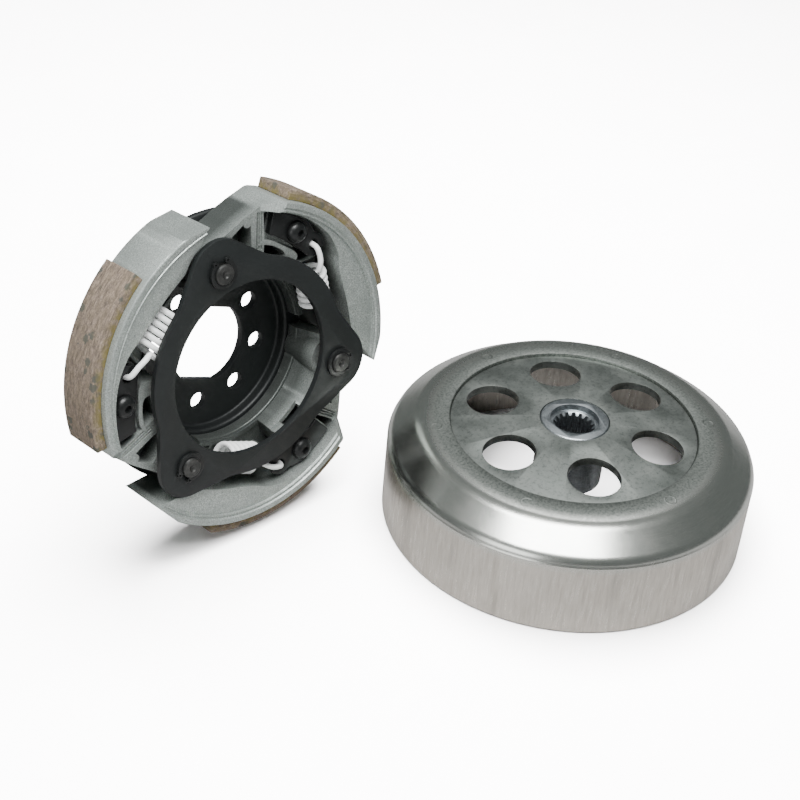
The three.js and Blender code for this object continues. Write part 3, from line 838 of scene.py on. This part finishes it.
def build_bell():
    place(bell_drum(), "drum", BELL_PLACE, "bell", "brushed_steel", ["bell_drum"])
    place(bell_disc(), "disc", BELL_PLACE, "bell", "zinc_steel", ["bell_disc"])
    place(splined_hub(), "hub", BELL_PLACE, "bell", "hub_steel", ["splined_hub"])
    for i in range(HOLE_COUNT):
        ring = weld_ring(WELD_PHASE + 360 / HOLE_COUNT * i)
        place(ring, f"spot_weld_{i + 1}", BELL_PLACE, "bell", "brushed_steel")


# ---- Clutch carrier -----------------------------------------------------------------------
def backing_plate():
    profile = rounded([
        (PLATE_START_R, DISH_BACK), (DISH_R + 1, DISH_BACK), (DISH_R + 3, FLANGE_BACK - 2.5),
        (DISH_R + 3, FLANGE_BACK), (PLATE_R, FLANGE_BACK), (PLATE_R, FLANGE_FRONT),
        (DISH_R + 0.6, FLANGE_FRONT), (DISH_R, FLANGE_FRONT - 0.8), (DISH_R, DISH_FRONT),
        (PLATE_START_R, DISH_FRONT),
    ], DISH_BEND_R)
    plate = lathe(profile, 180)
    corner = math.degrees(math.asin(PLATE_BORE_FLAT / PLATE_BORE_R))
    side = arc(PLATE_BORE_R, -corner, corner)
    bore = turned(side + turned(side, 180), FIRST_PIN + PLATE_BORE_TURN - 90)
    through = (DISH_BACK - 1, FLANGE_FRONT + 1)
    tools = [prism(bore, *through)]
    for i in range(PLATE_HOLES):
        centre = polar(PLATE_HOLE_CIRCLE, FIRST_PIN + PLATE_HOLE_TURN + 360 / PLATE_HOLES * i)
        tools.append(rod(PLATE_HOLE_R, *through, centre))
    for i in SHOES:
        tools.append(rod(PIN_NECK_R + 0.05, *through, polar(PIN_CIRCLE, FIRST_PIN - SHOE_STEP * i)))
    return soften(cut(plate, *tools), width=0.35, segments=3, angle=40)


def retainer_outline():
    near, far = LOBE_BLEND_ANGLE, SHOE_STEP - LOBE_BLEND_ANGLE
    lobe = arc(RETAINER_LOBE_R, -LOBE_HALF_ANGLE, LOBE_HALF_ANGLE, 3, (PIN_CIRCLE, 0))
    side = [
        polar(RETAINER_OUT_R + 0.35, near), *arc(RETAINER_OUT_R, near + 4, far - 4, 2),
        polar(RETAINER_OUT_R + 0.35, far),
    ]
    return [point for i in SHOES for point in turned(lobe + side, SHOE_STEP * i)]


def retainer_plate():
    through = (RETAINER_BACK - 1.5, RETAINER_FRONT + 2.3)
    holes = [rod(RETAINER_IN_R, *through, (0, 0), 180)]
    holes += [rod(PIN_NECK_R + 0.12, *through, polar(PIN_CIRCLE, SHOE_STEP * i)) for i in SHOES]
    plate = cut(prism(retainer_outline(), RETAINER_BACK, RETAINER_FRONT), *holes)
    return soften(plate, width=0.35, segments=3, angle=40)


def pivot_pin():
    profile = [
        (0, FLANGE_BACK - PIN_HEAD), (PIN_HEAD_R - 0.8, FLANGE_BACK - PIN_HEAD),
        (PIN_HEAD_R, FLANGE_BACK - PIN_HEAD + 0.8), (PIN_HEAD_R, FLANGE_BACK - 0.05),
        (PIN_NECK_R, FLANGE_BACK - 0.05), (PIN_NECK_R, FLANGE_FRONT + 0.05), (PIN_R, FLANGE_FRONT + 0.05),
        (PIN_R, RETAINER_BACK - 0.1), (PIN_NECK_R, RETAINER_BACK - 0.1), (PIN_NECK_R, CIRCLIP_BACK - 0.1),
        (PIN_GROOVE_R, CIRCLIP_BACK - 0.1), (PIN_GROOVE_R, CIRCLIP_FRONT + 0.1),
        (PIN_NECK_R, CIRCLIP_FRONT + 0.1), (PIN_NECK_R, -0.55), (PIN_NECK_R - 0.12, -0.25),
        (PIN_NECK_R - 0.5, 0), (1.5, 0), (1.2, -0.25), (0.5, -0.7), (0, -0.75),
    ]
    return lathe(profile, 72, (PIN_CIRCLE, 0))


def circlip(turn):
    """A snap ring whose opening is turned from the pin's outward side, with two holed ears."""
    start, end = CIRCLIP_OPENING, 360 - CIRCLIP_OPENING
    ring = arc(CIRCLIP_OUT_R, start, end, 4) + arc(CIRCLIP_IN_R, end, start, 4)
    ear_circle = (CIRCLIP_IN_R + CIRCLIP_OUT_R) / 2 + 0.7
    ears = [polar(ear_circle, angle) for angle in (start + 6, end - 6)]
    body = prism(ring, CIRCLIP_BACK, CIRCLIP_FRONT)
    body = join(body, *(rod(CIRCLIP_EAR_R, CIRCLIP_BACK, CIRCLIP_FRONT, ear, 24) for ear in ears))
    body = cut(body, *(rod(CIRCLIP_HOLE_R, CIRCLIP_BACK - 1, CIRCLIP_FRONT + 1, ear, 20) for ear in ears))
    body = soften(body, width=0.14, angle=40)
    spin = Matrix.Rotation(math.radians(turn), 4, "Z")
    body.data.transform(Matrix.Translation((PIN_CIRCLE, 0, 0)) @ spin)
    return body


def build_carrier():
    place(backing_plate(), "base_plate", CLUTCH_PLACE, "carrier", "black_steel", ["backing_plate"])
    place(retainer_plate(), "front_plate", shoe_place(0), "carrier", "black_steel", ["retainer_plate"])
    for i, turn in zip(SHOES, CIRCLIP_TURN):
        spot = shoe_place(i)
        place(pivot_pin(), f"pin_{i + 1}", spot, "carrier", "pin_steel", [f"pivot_pin_{i + 1}"])
        place(circlip(turn), f"snap_ring_{i + 1}", spot, "carrier", "black_oxide", [f"circlip_{i + 1}"])


# ---- Shoes --------------------------------------------------------------------------------
def sector(start, end):
    """A wedge of the shoe's space between two angles."""
    return prism([(0, 0), *shoe_arc(90, start, end, 6)], SHOE_BACK - 1, 1)


def band(profile, start, end):
    """A profile of (radius, height) turned from one angle to another."""
    return keep(lathe(profile, 288), sector(start, end))


def corners(points):
    """Points of a shoe, given as (radius, angle)."""
    return [on_shoe(r, angle) for r, angle in points]


def edge(points):
    """A smooth line through points of a shoe, given as (radius, angle)."""
    return smooth_line(corners(points), per_span=5)


def crescent():
    """The crescent and its rim: their outline, cut to the profile that they share."""
    heel_side = [(57.2, 23.3), (58.3, 25.6), (59.9, 28), (61.3, 30), (SHOE_R + 0.4, 31.8)]
    pocket_side = [
        (52.8, 113.8), (49.8, 107.5), (48.8, 102), (48.6, 94), (48.9, 85), (49.6, 79), (50.4, 75),
        (51.8, 71.5), (53.6, 67.5), (55.6, 60), (56.5, 54), (57, 48), (57.4, 41), (57.6, 33), (57, 26),
    ]
    outline = [
        *corners(heel_side), *shoe_arc(SHOE_R + 1, 35, TAPER_START), on_shoe(TIP_R, TIP_END),
        *edge(pocket_side),
    ]
    inside = 40
    profile = [
        (0, SHOE_BACK), (SHOE_R - 0.5, SHOE_BACK), (SHOE_R, SHOE_BACK + 0.5), (SHOE_R, RIM_FRONT - 0.6),
        (SHOE_R - 0.2, RIM_FRONT - 0.2), (SHOE_R - 0.6, RIM_FRONT), (LIP_R + 1.7, RIM_FRONT - 0.1),
        (LIP_R + 1.2, RIM_FRONT - 0.7), (LIP_R + 0.8, RIM_FRONT - 0.7), (LIP_R + 0.5, RIM_FRONT - 0.35),
        (LIP_R + 0.1, RIM_FRONT - 0.5), (LIP_R - 0.2, FACE - 0.25), (LIP_R - 0.7, FACE - 0.1),
        (inside, FACE - FACE_FALL * (LIP_R - inside)), (0, FACE - FACE_FALL * (LIP_R - inside)),
    ]
    return keep(prism(outline, SHOE_BACK, 0), lathe(profile, 288))


def ramp_cutter():
    """Cuts the slope between the heel and the rim."""
    shape = [
        (-RAMP_CUT, DECK), (-RAMP_HALF, DECK), (RAMP_HALF, RIM_FRONT), (RAMP_HALF, 1), (-RAMP_CUT, 1),
    ]
    block = prism(shape, *RAMP_REACH)
    out_x, out_y = on_shoe(1, RAMP_ANGLE)
    block.data.transform(Matrix(((out_y, 0, out_x, 0), (-out_x, 0, out_y, 0), (0, 1, 0, 0), (0, 0, 0, 1))))
    block.data.flip_normals()
    return block


def divider_grooves():
    """V-grooves that run lengthwise along the divider's outer half."""
    tools = []
    for start, end in ((25.0, 26.7), (25.9, 28.2), (26.8, 29.7)):
        here, there = Vector(on_shoe(56.4, start)), Vector(on_shoe(42.6, end))
        along = (there - here).normalized()
        across = Vector((-along.y, along.x)) * GROOVE_HALF
        line = [tuple(here + across), tuple(here - across), tuple(there - across), tuple(there + across)]
        bottom = [tuple(here), tuple(here), tuple(there), tuple(there)]
        tools.append(loft(bottom, DECK - GROOVE_DEPTH, line, DECK + 0.15))
    return tools


def heel():
    """The heel from the boss to the divider, which carries on inwards below the retainer."""
    outside = edge([
        (49.85, 0.3), (49.8, 4), (50.4, 7.5), (51.9, 12.5), (54, 17.1), (57.2, 23.3), (59.9, 28),
    ])
    inside = corners([(57.8, 28.4), (55.6, 27.8), (46.8, 30.1), (39.5, 32), (38.5, 8)])
    block = prism([on_shoe(PIN_CIRCLE, -2), *outside, *inside], SHOE_BACK, DECK)
    block = join(block, rod(BOSS_R, SHOE_BACK, DECK, (PIN_CIRCLE, 0), 96))
    pocket = rounded(corners([
        (48.7, 12), (46, 13.2), (43.4, 15), (40.5, 17), (40.3, 24), (43.1, 23.7), (49.4, 22.7),
        (54.9, 21.9), (52.3, 18), (49.8, 13.8),
    ]), 0.9)
    return cut(block, prism(pocket, POCKET_DEPTH, 1), *divider_grooves())


def floor_plan():
    """The outline of the trough's floor."""
    return [
        *shoe_arc(INNER_R + 0.2, -13, 96), on_shoe(50, 96), *shoe_arc(LIP_R, 70, 26),
        on_shoe(50, 6), on_shoe(40, -13),
    ]


def anchor_outline():
    """A plate with a round lobe at the hook's hole; its inner edge follows the curved rib."""
    hook = on_shoe(*HOOK)
    lobe = arc(HOOK_LOBE_R, 30 - HOOK[1], -170 - HOOK[1], 6, hook)
    inner = corners([(45.9, 51.5), (46.4, 46), (46.9, 42), (48, 35), (48.3, 31.8)])
    return [*shoe_arc(56.6, 31.8, 49), *lobe, *inner]


def anchor_pad():
    outline = [
        *shoe_arc(LIP_R, PAD_START, PAD_END), on_shoe(54, PAD_END + 3), on_shoe(48, PAD_END + 2),
        *shoe_arc(45.5, PAD_END, PAD_START),
    ]
    return prism(outline, SHOE_BACK, PAD_Z)


def hook_rib():
    """The rib that runs from the divider behind the retainer and ends in a tongue."""
    outer = edge([(45.8, 29.5), (46.1, 33.8), (45.7, 37.5), (45, 42.9), (44.7, 48.5), (44.2, 51.8)])
    tongue = corners([(43.9, 52.6), (43.2, 53.3), (41.1, 53.5), (37, 53), (37, 45.8), (40.6, 45.8)])
    inner = edge([(42.2, 45.3), (43.3, 42.6), (44.1, 37.1), (44.4, 31.5), (44, 27)])
    return prism([*outer, *tongue, *inner], SHOE_BACK, DECK)


def web():
    """A low bar across the pocket, under the spring's near hook."""
    bar = prism(corners([(42, 59), (48.8, 65.5), (48.8, 68), (42, 62)]), SHOE_BACK, WEB_Z)
    return soften(bar, width=0.7, segments=3)


def inner_walls():
    """The shoe's inside wall: tall and flared by the pin, lower beyond."""
    heights = ((DECK, 38.4, -13, 31), (-11, 36.6, 30, 53), (-18.2, 35, 52, 98))
    walls = []
    for top, top_r, start, end in heights:
        profile = [
            (INNER_R, SHOE_BACK), (INNER_R, -20), (34.8, -19.6), (top_r, top), (top_r + 1.6, top),
            (top_r + 1.6, SHOE_BACK),
        ]
        walls.append(band(profile, start, end))
    return walls


def fins():
    """Short ribs from the low wall out across the trough's floor."""
    ribs = []
    for angle in (72, 80, 88):
        outline = corners([(36.2, angle), (47.5, angle + 3), (47.5, angle + 4.6), (36.2, angle + 1.8)])
        ribs.append(prism(outline, SHOE_BACK, FLOOR_Z + 0.9))
    return ribs


def grown_retainer():
    """The room that the retainer plate needs in front of the shoe."""
    lobe_r = RETAINER_LOBE_R + RETAINER_CLEAR
    lobe = arc(lobe_r, -LOBE_HALF_ANGLE, LOBE_HALF_ANGLE, 3, (PIN_CIRCLE, 0))
    side = arc(RETAINER_OUT_R + RETAINER_CLEAR, LOBE_BLEND_ANGLE, SHOE_STEP - LOBE_BLEND_ANGLE, 2)
    points = [point for i in SHOES for point in turned(lobe + side, SHOE_STEP * i)]
    return prism(points, RETAINER_BACK - 1, 1)


def shoe_solid():
    body = join(
        crescent(), heel(), prism(floor_plan(), SHOE_BACK, FLOOR_Z), anchor_pad(), hook_rib(), web(),
        rod(STUD_R, SHOE_BACK, DECK, on_shoe(*STUD), 40), *inner_walls(), *fins(),
    )
    body = cut(
        body, ramp_cutter(), grown_retainer(), rod(PIN_R + 0.1, SHOE_BACK - 1, 1, (PIN_CIRCLE, 0), 72),
        rod(SCREW_HOLE_R, SCREW_END - 0.5, 1, on_shoe(*SCREW), 32),
    )
    return soften(body, width=0.45, segments=3, angle=28)


def lining_solid():
    start, end = LINING_SPAN
    outline = shoe_arc(LINING_R, start, end, 1) + shoe_arc(LINING_IN_R, end, start, 1)
    return soften(prism(outline, LINING_BACK, LINING_FRONT), width=0.35, segments=3, angle=40)


def spring_anchor():
    through = (ANCHOR_BACK - 1, ANCHOR_FRONT + 1)
    hook_hole = rod(HOOK_HOLE_R, *through, on_shoe(*HOOK), 40)
    screw_hole = rod(SCREW_HOLE_R, *through, on_shoe(*SCREW), 40)
    plate = prism(rounded(anchor_outline(), 0.6), ANCHOR_BACK, ANCHOR_FRONT)
    return soften(cut(plate, hook_hole, screw_hole), width=0.25, segments=3, angle=40)


def anchor_screw():
    """A button-head screw with a hexagon socket."""
    seat = ANCHOR_FRONT + 0.05
    dome = [(r * 0.954, seat + 0.3 + z * 0.75) for r, z in arc(3.4, 0, 78, 8, (1.0, 0))]
    profile = [
        (0, SCREW_END), (SCREW_SHANK_R, SCREW_END), (SCREW_SHANK_R, seat), (SCREW_HEAD_R - 0.15, seat),
        (SCREW_HEAD_R, seat + 0.15), *dome, (0, seat + 2.85),
    ]
    screw = cut(lathe(profile, 72), rod(SOCKET_R, seat + 1.1, 1, (0, 0), 6))
    screw = soften(screw, width=0.12, angle=40)
    screw.data.transform(Matrix.Translation((*on_shoe(*SCREW), 0)))
    return screw


# ---- Return springs -----------------------------------------------------------------------
def spring_path():
    """The near hook, the coil and the far loop, which goes round the next shoe's pin."""
    start, end = Vector((*COIL_START, 0)), Vector((*COIL_END, 0))
    along = (end - start).normalized()
    side = Vector((-along.y, along.x, 0))
    hook_x, hook_y = on_shoe(*HOOK)
    lead = [
        (hook_x, hook_y, -11.6), (hook_x, hook_y, -8.4), (hook_x - 1.3, hook_y - 0.2, -5.8),
        (22, -42.3, -5.2), (19.1, -41.5, -5.3),
    ]
    steps = COIL_TURNS * STEPS_PER_TURN
    coil = []
    for i in range(steps + 1):
        angle = math.pi / 2 + i / steps * COIL_TURNS * 2 * math.pi
        point = start.lerp(end, i / steps) + side * (COIL_R * math.cos(angle))
        coil.append((point.x, point.y, COIL_Z + COIL_R * math.sin(angle)))
    next_pin = on_shoe(PIN_CIRCLE, SHOE_STEP)
    loop = [(x, y, LOOP_Z) for x, y in arc(PIN_R + GAP + WIRE_R, -85, -260, 25, next_pin)]
    return smooth_line([*lead, coil[0]])[:-1] + coil[:-1] + smooth_line([coil[-1], *loop])


def tube(path, radius, sides=16):
    """A round wire along the path, with eased ends."""
    points = [Vector(p) for p in path]
    last = len(points) - 1
    normal = (points[1] - points[0]).orthogonal().normalized()
    verts = []
    for i, point in enumerate(points):
        tangent = (points[min(i + 1, last)] - points[max(i - 1, 0)]).normalized()
        normal = (normal - tangent * normal.dot(tangent)).normalized()
        across = tangent.cross(normal)
        ring_radius = radius * (0.72 if i in (0, last) else 1)
        for x, y in circle(ring_radius, sides):
            verts.append(tuple(point + normal * x + across * y))
    faces = [tuple(range(sides))[::-1], tuple(range(last * sides, len(verts)))]
    for base in range(0, last * sides, sides):
        for k in range(sides):
            here, after = base + k, base + (k + 1) % sides
            faces.append((here, after, after + sides, here + sides))
    return solid(verts, faces)


def build_shoes():
    pieces = (
        (shoe_solid(), "casting", "cast_alloy", "shoe"),
        (lining_solid(), "lining", "friction_material", "friction_lining"),
        (spring_anchor(), "spring_plate", "black_oxide", "spring_anchor"),
        (anchor_screw(), "plate_screw", "black_oxide", "anchor_screw"),
    )
    for original, name, slot, node in pieces:
        for i in SHOES:
            copy = duplicate(original)
            place(copy, f"{name}_{i + 1}", shoe_place(i), f"shoe_unit_{i + 1}", slot, [f"{node}_{i + 1}"])
        bpy.data.objects.remove(original)
    for i in SHOES:
        place_spring(i)


def place_spring(index):
    """Builds a return spring at its shoe's place and bakes that place into its mesh; it is fastened to no
    body.
    """
    matrix = shoe_place(index)
    spring = tube(spring_path(), WIRE_R)
    dress(spring, f"return_coil_{index + 1}", matrix, "white_coating", [f"return_spring_{index + 1}"], 180)
    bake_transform(spring)


# ---- Camera, lights and floor -------------------------------------------------------------
def camera():
    data = bpy.data.cameras.new("camera")
    data.lens = LENS
    data.sensor_width = SENSOR
    data.clip_start = 0.01
    forward = Vector((
        math.sin(AZIMUTH) * math.cos(ELEVATION),
        math.cos(AZIMUTH) * math.cos(ELEVATION),
        -math.sin(ELEVATION),
    ))
    right = Vector((math.cos(AZIMUTH), -math.sin(AZIMUTH), 0))
    up = right.cross(forward)
    right_rolled = right * math.cos(ROLL) + up * math.sin(ROLL)
    up_rolled = up * math.cos(ROLL) - right * math.sin(ROLL)
    turn = Matrix((right_rolled, up_rolled, -forward)).transposed().to_4x4()
    obj = bpy.data.objects.new("camera", data)
    obj.matrix_world = Matrix.Translation(AIM - forward * DISTANCE) @ turn
    bpy.context.scene.collection.objects.link(obj)
    bpy.context.scene.camera = obj


def area_light(name, spot, aim, size, power):
    """A rectangular lamp at a spot, turned towards its aim."""
    data = bpy.data.lights.new(name, "AREA")
    data.shape = "RECTANGLE"
    data.size, data.size_y = size
    data.energy = power
    obj = bpy.data.objects.new(name, data)
    away = Vector(spot) - Vector(aim)
    obj.matrix_world = Matrix.Translation(spot) @ away.to_track_quat("Z", "Y").to_matrix().to_4x4()
    bpy.context.scene.collection.objects.link(obj)
    return obj


def studio(pale_sheet):
    """Soft lamps on the pieces, and one strong lamp that lights only the pale sheet."""
    area_light("overhead", spot=(-0.17, -0.17, 0.85), aim=(0, 0, 0), size=(0.6, 0.5), power=22)
    area_light("left", spot=(-0.85, -0.25, 0.30), aim=(0, 0, 0.04), size=(0.5, 0.4), power=2.5)
    area_light("far", spot=(0.46, 0.30, 0.72), aim=(0.03, -0.04, 0.04), size=(0.22, 0.2), power=0.7)
    wash = area_light("floor_wash", spot=(0.12, 0.16, 0.8), aim=(0, 0, 0), size=(0.7, 0.7), power=110)
    only_floor = bpy.data.collections.new("floor_only")
    only_floor.objects.link(pale_sheet)
    wash.light_linking.receiver_collection = only_floor
    world = bpy.data.worlds.new("studio")
    world.use_nodes = True
    background = world.node_tree.nodes["Background"]
    background.inputs["Color"].default_value = (0.92, 1.0, 0.98, 1)
    background.inputs["Strength"].default_value = 0.2
    bpy.context.scene.world = world


def sheet(name, height, tone):
    """A square paper sheet, its height in millimetres."""
    signs = ((-1, -1), (1, -1), (1, 1), (-1, 1))
    verts = [(x * FLOOR_HALF, y * FLOOR_HALF, height * MM) for x, y in signs]
    mesh = bpy.data.meshes.new(name)
    mesh.from_pydata(verts, [], [(0, 1, 2, 3)])
    mesh.materials.append(paper(name, tone))
    obj = bpy.data.objects.new(name, mesh)
    bpy.context.scene.collection.objects.link(obj)
    return obj


def floor():
    """A pale sheet that is seen, and a duller one just below it that lights the pieces."""
    seen = sheet("floor", FLOOR_SEEN, SEEN_TONE)
    seen.visible_diffuse = False
    seen.visible_glossy = False
    seen.visible_shadow = False
    under = sheet("under_floor", FLOOR_LIT, LIT_TONE)
    under.visible_camera = False
    return seen


camera()
studio(floor())
build_bell()
build_carrier()
build_shoes()
